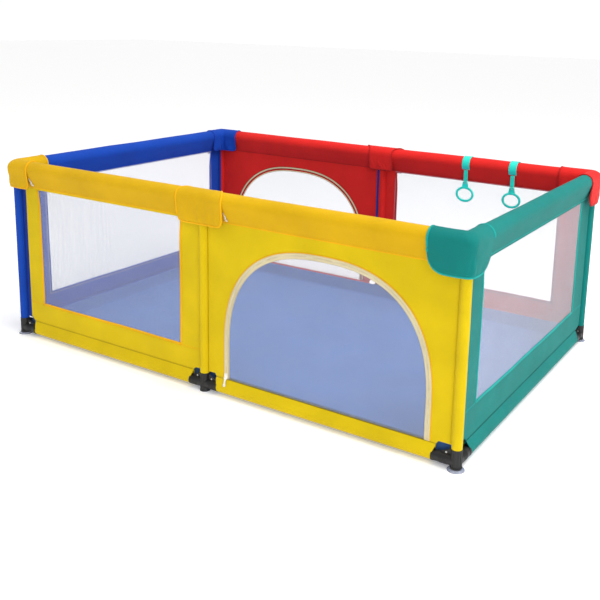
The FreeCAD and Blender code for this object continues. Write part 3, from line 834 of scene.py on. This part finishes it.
def make_zip(panel, body):
    """Tape and coil of the door's zip: one half on the panel, the other on the door."""
    coil = arch_path(ZIP_GROW, v=-2.0 * MM)
    for half, rides, side in (("_panel", "frame", 1), ("_door", body, -1)):
        tape, teeth, thread = Pattern(), Pattern(), Pattern()
        edge = sorted((side * -0.6 * MM, side * -8.0 * MM))
        sweep(tape, coil, tape_profile(*edge, 1.0 * MM), OUT)
        for place, tangent, _ in walk(coil, 2.6 * MM):
            across = tangent.cross(OUT).normalized() * -side
            tooth = [place + across * a + OUT * 0.9 * MM for a in (-0.4 * MM, 1.0 * MM, 2.6 * MM)]
            sweep(teeth, tooth, round_profile(0.7 * MM, 0.7 * MM, 6), OUT, taper=True)
        line = arch_path(ZIP_GROW + side * 5.6 * MM, v=-2.7 * MM, low=DOOR_LOW_Z + 2 * MM)
        stitches(thread, line, OUT, radius=0.3 * MM)
        made = zip_piece(tape, "zip_tape" + half, panel, "zip_tape", rides)
        if rides == "frame":
            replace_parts(made, "door_zip_tapes")
        zip_piece(teeth, "zip_teeth" + half, panel, "zip_coil", rides, FINE_WELD)
        zip_piece(thread, "zip_stitches" + half, panel, "zip_tape", rides, FINE_WELD)
    welt, inner = Pattern(), Pattern()
    sweep(welt, arch_path(ZIP_GROW + 9.5 * MM, v=-1.2 * MM), round_profile(1.7 * MM, 1.3 * MM), OUT)
    sew(welt, "zip_welt", panel)
    path = arch_path(-2.5 * MM, v=1.2 * MM, low=DOOR_LOW_Z + 1 * MM)
    sweep(inner, path, tape_profile(-3 * MM, 2 * MM, 0.8 * MM), OUT)
    zip_piece(inner, "door_edge_tape", panel, "zip_tape", body)
    backing, piping = Pattern(), Pattern()
    low = DOOR_LOW_Z + 2 * MM
    path = arch_path(ZIP_GROW + 5 * MM, v=2.0 * MM, low=low)
    sweep(backing, path, tape_profile(-3.6 * MM, 3.6 * MM, 1.2 * MM), OUT)
    for apart in (0.6 * MM, 9.6 * MM):
        path = arch_path(ZIP_GROW + apart, v=1.9 * MM, low=low)
        sweep(piping, path, round_profile(1.3 * MM, 1.2 * MM, 6), OUT)
    zip_piece(backing, "zip_backing", panel, "zip_tape", "frame")
    # The piping takes the darkened seam colour: painted shade.
    sew(piping, "zip_backing_piping", panel, "_seam")


# ---- padded rails ----
def cover_outline():
    return teardrop(COVER_R - 0.6 * MM, TOP_Z, COVER_TIP_Z, 30, 1.6 * MM)


def cover_side(z):
    """1 half way down the side of a rail cover, 0 at its crown and its tip."""
    return smooth((TOP_Z - 6 * MM - z) / (40 * MM)) * smooth((z - COVER_TIP_Z) / (14 * MM))


def make_rail_cover(panel):
    """A foam-filled cloth tube, sewn shut along its lower edge."""
    colour = PANELS[panel][3]
    length = panel_length(panel)
    outline = cover_outline()
    round_it = lengths_round(outline)
    seed = seed_of(panel) + 4
    cover = Pattern()
    rows = []
    for u in spaced([COVER_END, length - COVER_END], 11 * MM):
        row = []
        for (v, z), s in zip(outline, round_it):
            side = cover_side(z)
            plump = ripple(u, s, 0.16, seed) * 0.7 * MM
            plump += ripple(u, s * 0.5, 0.035, seed + 1) * 0.35 * MM * side
            out = Vector((v, z - TOP_Z)).normalized() * plump
            row.append((u, v * (1 + COVER_BELLY * side) + out.x, z + out.y * (1 - side), u, s))
        rows.append(row)
    cover.grid(rows).fan(rows[0]).fan(rows[-1])
    made = cover.piece("rail_padding_" + panel, SHELLS[colour], "frame", SLOTS[colour], panel_matrix(panel))
    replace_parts(made, "rail_cover_" + panel)
    welt, thread = Pattern(), Pattern()
    us = spaced([COVER_END, length - COVER_END], 30 * MM)
    sweep(welt, [Vector((u, 0, COVER_TIP_Z + 0.5 * MM)) for u in us], round_profile(3.0 * MM, 2.6 * MM), OUT)
    for side in (-1, 1):
        path = [Vector((u, side * 4.9 * MM, COVER_TIP_Z + 6 * MM)) for u in us]
        stitches(thread, path, Vector((0, side, 0)))
    sew(welt, "rail_welt", panel)
    sew(thread, "rail_stitches", panel)


def cover_v(z):
    """How far the front of a rail cover stands out at a height."""
    front = [point for point in cover_outline() if point[0] < 0]
    return min(front, key=lambda point: abs(point[1] - z))[0] * (1 + COVER_BELLY * cover_side(z))


def make_loop_tape(panel, start, width):
    """The corner of hook-and-loop tape that shows beside a cap."""
    rows = []
    for t in spaced([0.0, 1.0], 0.125):
        z = lerp(COVER_TIP_Z + 7 * MM, COVER_TIP_Z + 36 * MM, t)
        v = cover_v(z) - 2.6 * MM
        rows.append([(start + u, v, z, u, z) for u in (0.0, width * (1.1 - t))])
    thicken(zip_piece(Pattern().grid(rows), "loop_tape", panel, "fuzz", "frame"), 0.8 * MM)


# ---- caps over the rail joints ----
CAP_FILLET = 10 * MM
CAP_CORNER_R = 24 * MM
CAP_BEND = 0.3
CAP_FOOT = 22.5 * MM
CAP_INNER_Z = COVER_TIP_Z + 1 * MM
CAP_HEM = 8 * MM


def cap_columns(drop):
    """(out, share of the drop, rise) from a cap's inner hem over its crown to its outer hem."""
    radius = CAP_R - 1.4 * MM
    shares = spaced([0.0, 1 - CAP_HEM / drop, 1.0], 0.1)[1:]
    wall = [(lerp(radius, CAP_FOOT, f ** 1.15), f, 0.0) for f in shares]
    crown = []
    for k in range(-8, 9):
        angle = math.pi / 2 * k / 8
        crown.append((radius * math.sin(angle), 0.0, radius * math.cos(angle)))
    return [(-out, f, rise) for out, f, rise in reversed(wall)] + crown + wall


def hem_height(distance, low_z, radius):
    """The hem rises round the rounded lower corner of a cap's flap."""
    if distance >= radius:
        return low_z
    return low_z + radius - math.sqrt(max(0.0, radius ** 2 - (radius - distance) ** 2))


def corner_plan(reach_out, reach_in):
    """Plan of a cap that turns a corner: (u, v, distance to its end) of each (out, stop)."""
    def plan(out, stop):
        radius = min(CAP_FILLET + max(0.0, out), CAP_CORNER_R)
        hold = radius - out
        if abs(stop) <= CAP_BEND:
            angle = math.radians(225 + 45 * stop / CAP_BEND)
            reach = reach_out if stop > 0 else reach_in
            return hold + radius * math.cos(angle), hold + radius * math.sin(angle), reach
        share = (abs(stop) - CAP_BEND) / (1 - CAP_BEND)
        if stop > 0:
            return lerp(hold, reach_out, share), -out, (reach_out - hold) * (1 - share)
        return -out, lerp(hold, reach_in, share), (reach_in - hold) * (1 - share)
    return plan


def straight_plan(half_out, half_in):
    def plan(out, stop):
        half = lerp(half_in, half_out, smooth((out / CAP_R + 1) / 2))
        return half * stop, -out, half * (1 - abs(stop))
    return plan


def cap_stops(bend, reaches):
    """Places along a cap, closer together at its hem rows."""
    ends = [1 - (1 - bend) * CAP_HEM / reach for reach in reaches]
    stops = [-1.0, -ends[0], -bend, bend, ends[1], 1.0] if bend else [-1.0, -ends[0], ends[1], 1.0]
    return spaced(stops, 0.05)


def make_cap(post, heading, plan, stops, low_z, radii, colour):
    seed = seed_of(post) + 11
    drop = TOP_Z - low_z
    columns = cap_columns(drop)
    at_corner = not post.endswith("middle")
    rows = []
    for stop in stops:
        row = []
        corner = 1 - smooth(abs(stop) / 0.45)
        dent = 0.0
        if at_corner:
            dent = 2.0 * smooth((0.3 - abs(stop)) / 0.12)
            dent -= 6.0 * smooth((abs(stop) - 0.26) / 0.22) * smooth((1.0 - abs(stop)) / 0.3)
        for k, (out, share, rise) in enumerate(columns, 1):
            loose = share * (1.0 - 0.5 * smooth((share - 0.9) / 0.1))
            along, down = stop * 0.3, share * 0.16 + (0.4 if out > 0 else 0.0)
            puff = ripple(along, down, 0.075, seed) * 2.6 * MM * loose
            puff += ripple(along + share * 0.1, share * 0.05, 0.028, seed + 2) * 1.1 * MM * (0.25 + loose)
            fold = math.sin((share * 3.2 + abs(stop) * 3.0) * math.pi) * 1.3 * MM * corner * loose
            swell = abs(puff + fold + dent * MM * loose) * (1.0 if share > 0 else 0.35)
            u, v, distance = plan(out + math.copysign(swell, out), stop)
            if share > 0:
                low, radius = (low_z, radii[0 if stop > 0 else 1]) if out > 0 else (CAP_INNER_Z, 14 * MM)
                z = lerp(TOP_Z, hem_height(distance, low, radius), share)
            else:
                z = TOP_Z + rise + ripple(along, out, 0.05, seed + 4) * 0.5 * MM
            row.append((u, v, z, stop * 0.2, k * 8 * MM))
        rows.append(row)
    matrix = Matrix.Translation(POSTS[post]) @ Matrix.Rotation(math.radians(heading), 4, "Z")
    made = Pattern().grid(rows).piece("cap_" + post, SHELLS[colour], "frame", SLOTS[colour], matrix)
    modified(made, "SUBSURF", levels=1)
    thicken(made, 1.6 * MM)
    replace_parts(made, "top_cap_" + post)
    cap_trim(post, rows, matrix, colour)


def grid_line(rows, row=None, column=None):
    """The points and outward directions of one row or column of a grid."""
    places = [[Vector(p[:3]) for p in line] for line in rows]
    count, width = len(places), len(places[0])
    line, outs = [], []
    for k in range(width if row is not None else count):
        i, j = (row % count, k) if row is not None else (k, column % width)
        along = places[min(i + 1, count - 1)][j] - places[max(i - 1, 0)][j]
        over = places[i][min(j + 1, width - 1)] - places[i][max(j - 1, 0)]
        line.append(places[i][j])
        outs.append(over.cross(along).normalized())
    return line, outs


def cap_trim(post, rows, matrix, colour):
    """Turned edge all round a cap and a line of stitches inside it."""
    edge, thread = Pattern(), Pattern()
    centre = sum((Vector(p[:3]) for p in rows[len(rows) // 2]), Vector()) / len(rows[0])

    def outward(**which):
        line, outs = grid_line(rows, **which)
        if outs[len(outs) // 2].dot(line[len(line) // 2] - centre) < 0:
            outs = [-o for o in outs]
        return line, outs
    for key in ("row", "column"):
        for outer, inner in ((0, 1), (-1, -2)):
            line, outs = outward(**{key: outer})
            sweep(edge, line, round_profile(3.3 * MM, 2.3 * MM), outs)
            line, outs = outward(**{key: inner})
            stitches(thread, [p + o * 1.0 * MM for p, o in zip(line, outs)], outs, pitch=4.0 * MM)
    for pattern, name in ((edge, "cap_edge_"), (thread, "cap_stitches_")):
        pattern.piece(name + post, MAT[colour + "_trim"], "frame", SLOTS[colour], matrix)


def make_caps():
    for post, (heading, reach_out, reach_in, colour, lift, radii) in CORNER_CAPS.items():
        stops = cap_stops(CAP_BEND, (reach_in, reach_out))
        make_cap(post, heading, corner_plan(reach_out, reach_in), stops, CAP_LOW_Z + lift, radii, colour)
    half_out, half_in, lift, radius = 89 * MM, 52 * MM, 11 * MM, 20 * MM
    for post, (heading, colour) in MIDDLE_CAPS.items():
        stops = cap_stops(0.0, (90 * MM, 90 * MM))
        plan = straight_plan(half_out, half_in)
        make_cap(post, heading, plan, stops, CAP_LOW_Z + lift, (radius, radius), colour)


# ---- floor ----
def make_floor():
    """The tub sheet: a soft floor with walls that stand inside the bottom rails."""
    low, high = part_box("floor_sheet")
    thick = 2.0 * MM
    half_x, half_y = high.x - thick, high.y - thick
    base, top = low.z + thick / 2 + 0.2 * MM, high.z - 0.5 * MM
    bend = 9 * MM

    def place(travel, half):
        flat_to = half - bend
        beyond = abs(travel) - flat_to
        if beyond <= 0:
            return travel, 0.0
        turn = min(math.pi / 2, beyond / bend)
        rise = bend * (1 - math.cos(turn)) + max(0.0, beyond - bend * math.pi / 2)
        return math.copysign(flat_to + bend * math.sin(turn), travel), rise

    reach = bend * math.pi / 2 + (top - base - bend)
    grids = []
    for half in (half_x, half_y):
        flat_to = half - bend
        turned = [flat_to + bend * math.pi / 2 * k / 4 for k in range(1, 5)]
        side = spaced([0.0, flat_to - 40 * MM, flat_to, turned[3], flat_to + reach], 24 * MM)
        side = sorted(set(side + turned[:3]))
        grids.append([-value for value in reversed(side[1:])] + side)
    xs, ys = grids
    rows = []
    for q in ys:
        y, rise_y = place(q, half_y)
        row = []
        for p in xs:
            x, rise_x = place(p, half_x)
            inside = smooth((half_x - abs(x)) / 0.05) * smooth((half_y - abs(y)) / 0.05)
            crease = max(0.0, ripple(x, y, 0.34, 3) * 1.6 + ripple(x * 1.7, y * 0.8, 0.12, 5) * 0.9)
            fold = max(0.0, 1 - abs(ripple(x * 0.8 + y * 0.3, y * 0.5, 0.3, 8)) * 9) * 1.2
            wall = ripple(p if rise_y else q, rise_x + rise_y, 0.09, 6) * 1.6 * MM
            wall *= smooth(max(rise_x, rise_y) / (25 * MM))
            z = base + max(rise_x, rise_y) + (crease + fold) * inside * MM
            lean_x = math.copysign(abs(wall), x) if rise_x and not rise_y else 0.0
            lean_y = math.copysign(abs(wall), y) if rise_y and not rise_x else 0.0
            row.append((x - lean_x, y - lean_y, z, p, q))
        rows.append(row)

    def corner(i, j):
        beyond_x = abs(xs[j] + xs[j + 1]) / 2 > half_x - bend + bend * math.pi / 2
        beyond_y = abs(ys[i] + ys[i + 1]) / 2 > half_y - bend + bend * math.pi / 2
        return beyond_x and beyond_y
    made = Pattern().grid(rows, corner).piece("floor_tub", MAT["floor"], "frame", "floor_cloth")
    thicken(made, thick)
    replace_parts(made, "floor_sheet")
    hem, thread = Pattern(), Pattern()
    ring = [Vector((x * half_x, y * half_y, top)) for x, y in ((-1, -1), (1, -1), (1, 1), (-1, 1), (-1, -1))]
    for a, b in zip(ring, ring[1:]):
        out = Vector((0, 0, 1)).cross(b - a).normalized()
        path = [a.lerp(b, t) for t in spaced([0.0, 1.0], 0.02)]
        sweep(hem, path, tape_profile(-1.6 * MM, 1.6 * MM, 3.4 * MM), out)
        stitches(thread, [p + Vector((0, 0, -5 * MM)) - out * 1.4 * MM for p in path], -out)
    hem.piece("floor_hem", MAT["floor"], "frame", "floor_cloth")
    thread.piece("floor_stitches", MAT["floor"], "frame", "floor_cloth")


def make_strips():
    """Blue cloth strips that close the gap between a post sleeve and the next panel's free edge."""
    for panel, values in PANELS.items():
        near, far = 14.2 * MM, values[4] + 9 * MM
        rows = []
        for z in spaced([NOTCH_Z, COVER_TIP_Z - 2 * MM], 16 * MM):
            row = []
            for k in range(7):
                u = lerp(near, far, k / 6)
                v = lerp(6.6 * MM, 2.2 * MM, (k / 6) ** 0.6) + ripple(z, u, 0.08, seed_of(panel)) * 0.5 * MM
                row.append((u, v, z, u, z))
            rows.append(row)
        made = Pattern().grid(rows).piece("post_strip_" + panel, MAT["navy"], "frame", "blue_cloth",
                                          panel_matrix(panel))
        thicken(made, 1.2 * MM)


# ---- small moulded parts ----
def lathe(pattern, profile, centre, count=40):
    rows = []
    for k in range(count + 1):
        turn = 2 * math.pi * k / count
        rows.append([(centre.x + r * math.cos(turn), centre.y + r * math.sin(turn), z, r * turn, z)
                     for r, z in profile])
    return pattern.grid(rows)


def make_cups():
    profile = [(0.01, 14.4), (4.2, 14.4), (4.4, 9.4), (9.2, 9.2), (9.6, 8.2), (9.4, 6.4), (13, 5.4),
               (13.6, 5.6), (14.2, 5.0), (19, 3.4), (22.6, 1.9), (24.3, 1.1), (24.5, 0.4), (23.8, 0.05),
               (21.5, 0.5), (17, 2.0), (10, 3.9), (5, 4.4), (0.01, 4.4)]
    for post in CORNER_CAPS:
        cup = lathe(Pattern(), [(r * MM, z * MM) for r, z in profile], POSTS[post])
        made = cup.piece("suction_cup_" + post, MAT["vinyl"], "frame", "clear_vinyl")
        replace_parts(made, "suction_cups")


# ---- pull straps ----
def ribbon(pattern, path, outs, half, thickness):
    """A flat strap of a half width along a path."""
    t = thickness / 2
    face = [-half + t, -half / 2, 0, half / 2, half - t]
    shape = [(-half, 0), *((a, -t) for a in face), (half, 0), *((a, t) for a in reversed(face)), (-half, 0)]
    rows = [[(*(point + across * a + out * b), a, travelled) for a, b in shape]
            for point, across, out, travelled in frames_along(path, outs)]
    return pattern.tube(rows)


def web_piece(pattern, name, key, body):
    return pattern.piece(name + "_" + key, MAT["webbing"], body, "turquoise_webbing")


def box_stitch(pattern, corners, out):
    for line in (corners + corners[:1], corners[::2], corners[1::2]):
        stitches(pattern, line, out, pitch=2.6 * MM, length=1.9 * MM, radius=0.3 * MM)


def make_pull_loop(key, x):
    """The band of webbing round the back rail, with a line of stitches along each edge."""
    low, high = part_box("pull_strap_loops")
    loop_r = (high.y - low.y) / 2 - 1.0 * MM
    half = 16 * MM
    drop = math.asin((TOP_Z - low.z - 1.5 * MM) / loop_r)
    outs = [Vector((0, -math.cos(angle), math.sin(angle))) for angle in spaced([-drop, math.pi + drop], 0.12)]
    path = [Vector((x, POSTS["back_middle"].y, TOP_Z)) + out * loop_r for out in outs]
    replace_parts(web_piece(ribbon(Pattern(), path, outs, half, 1.8 * MM), "pull_loop", key, "frame"),
                "pull_strap_loops")
    thread = Pattern()
    for side in (-1, 1):
        shift = Vector((side * (half - 2.2 * MM), 0, 0))
        line = [p + shift + o * 1.0 * MM for p, o in zip(path, outs)]
        stitches(thread, line, outs, pitch=3.4 * MM, length=2.6 * MM, radius=0.3 * MM)
    web_piece(thread, "pull_loop_stitches", key, "frame")


def make_pull_strap(key, x, y, low, high):
    """The hanging strap with its box stitch, and its end turned round the ring's bar."""
    half = (high.x - low.x) / 2
    zs = spaced([high.z + 1.2 * MM, high.z - 12 * MM, low.z - 1.0 * MM], 4 * MM)
    path = [Vector((x, y, z)) for z in zs]
    made = web_piece(ribbon(Pattern(), path, OUT, half, 1.9 * MM), "pull_strap_webbing", key, "strap_" + key)
    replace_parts(made, "pull_strap_" + key)
    sewn = Pattern()
    inset, upper, lower = half - 2.5 * MM, high.z - 4 * MM, high.z - 20 * MM
    for side in (-1, 1):
        face = Vector((0, side * 1.05 * MM, 0))
        corners = [Vector((x + a, y, z)) + face
                   for a, z in ((-inset, upper), (inset, upper), (inset, lower), (-inset, lower))]
        box_stitch(sewn, corners, Vector((0, side, 0)))
    bar = Vector((x, y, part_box("pull_ring_" + key)[1].z - 2.2 * MM))
    turn = [(0, 4.6), (-1.6, 3.4), (-2.7, 1.6), (-2.7, -1.8), (-1.6, -3.0), (1.6, -3.0), (2.7, -1.8),
            (2.7, 1.6), (1.6, 3.4), (0, 4.6)]
    path = [bar + Vector((0, a, b)) * MM for a, b in turn]
    outs = [(p - bar).normalized() for p in path]
    web_piece(ribbon(Pattern(), path, outs, 5.6 * MM, 1.3 * MM), "pull_strap_end", key, "ring_" + key)
    web_piece(sewn, "pull_strap_stitches", key, "strap_" + key)


def make_pulls():
    for key in ("a", "b"):
        low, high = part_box("pull_strap_" + key)
        x, y = (low.x + high.x) / 2, (low.y + high.y) / 2
        make_pull_loop(key, x)
        make_pull_strap(key, x, y, low, high)


# ---- the frame's own nodes ----
NODE_MATERIALS = {
    "post_": "steel", "bottom_rail_": "steel", "top_rails": "steel", "bottom_connector_": "black",
    "top_connectors": "black", "connector_screws": "screw", "rail_foam": "foam",
    "zip_slider": "white_plastic", "zip_tab": "white_plastic", "pull_ring": "turquoise",
}


def finish_nodes():
    for name, node in NODES.items():
        for start, material in NODE_MATERIALS.items():
            if name.startswith(start):
                for place in node.material_slots:
                    place.material = MAT[material]


# ---- studio ----
def make_studio():
    mesh = bpy.data.meshes.new("studio_floor")
    half = 30.0
    corners = [(-half, -half, 0), (half, -half, 0), (half, half, 0), (-half, half, 0)]
    mesh.from_pydata(corners, [], [(0, 1, 2, 3)])
    ground = bpy.data.objects.new("studio_floor", mesh)
    ground.location.z = -0.2 * MM
    bpy.context.scene.collection.objects.link(ground)
    paint = Shader("studio_white", 0.9)
    paint.bsdf.inputs["Base Color"].default_value = (0.93, 0.93, 0.93, 1)
    paint.bsdf.inputs["Emission Color"].default_value = (1, 1, 1, 1)
    paint.bsdf.inputs["Emission Strength"].default_value = 0.24
    mesh.materials.append(paint.material)
    world = bpy.data.worlds.new("studio")
    world.use_nodes = True
    tree = world.node_tree
    place = tree.nodes.new("ShaderNodeTexCoord")
    split = tree.nodes.new("ShaderNodeSeparateXYZ")
    tree.links.new(place.outputs["Generated"], split.inputs[0])
    tone = tree.nodes.new("ShaderNodeValToRGB")
    stops = ((0.0, 1.0), (0.22, 1.0), (0.34, 0.42), (0.60, 0.50), (0.95, 1.1))
    while len(tone.color_ramp.elements) < len(stops):
        tone.color_ramp.elements.new(0.5)
    for element, (height, level) in zip(tone.color_ramp.elements, stops):
        element.position = height
        element.color = (level, level, level, 1)
    tree.links.new(split.outputs[2], tone.inputs[0])
    tree.links.new(tone.outputs[0], tree.nodes["Background"].inputs["Color"])
    tree.nodes["Background"].inputs["Strength"].default_value = 1.02
    bpy.context.scene.world = world
    for name, place, size, power in (("top", (1.9, -0.1, 4.0), 3.2, 128.0),
                                     ("key", (5.6, -4.2, 3.4), 2.8, 118.0)):
        light = bpy.data.lights.new(name, "AREA")
        light.shape = "DISK"
        light.size = size
        light.energy = power
        lamp = bpy.data.objects.new(name, light)
        lamp.location = place
        lamp.rotation_euler = (Vector((0, 0, 0.3)) - Vector(place)).to_track_quat("-Z", "Y").to_euler()
        bpy.context.scene.collection.objects.link(lamp)


def make_camera():
    azimuth, elevation, roll = (math.radians(value) for value in (31.8, 12.0, 1.4))
    back = Vector((math.sin(azimuth) * math.cos(elevation), -math.cos(azimuth) * math.cos(elevation),
                   math.sin(elevation)))
    right = Vector((math.cos(azimuth), math.sin(azimuth), 0))
    up = back.cross(right)
    tilted = right * math.cos(roll) + up * math.sin(roll)
    upright = up * math.cos(roll) - right * math.sin(roll)
    data = bpy.data.cameras.new("camera")
    data.sensor_width = 36
    data.lens = 50.46
    data.shift_x = -0.05
    data.shift_y = -0.167
    camera = bpy.data.objects.new("camera", data)
    turn = Matrix((tilted, upright, back)).transposed().to_4x4()
    camera.matrix_world = Matrix.Translation(Vector((1.651, -2.506, 1.166))) @ turn
    bpy.context.scene.collection.objects.link(camera)
    bpy.context.scene.camera = camera


make_camera()
make_studio()
for panel_name in PANELS:
    make_panel(panel_name)
    make_rail_cover(panel_name)
make_loop_tape("front_left", 85 * MM, 11 * MM)
make_loop_tape("front_right", 91 * MM, 8 * MM)
make_caps()
make_floor()
make_strips()
make_cups()
make_pulls()
finish_nodes()
bpy.context.scene.view_settings.view_transform = "Standard"
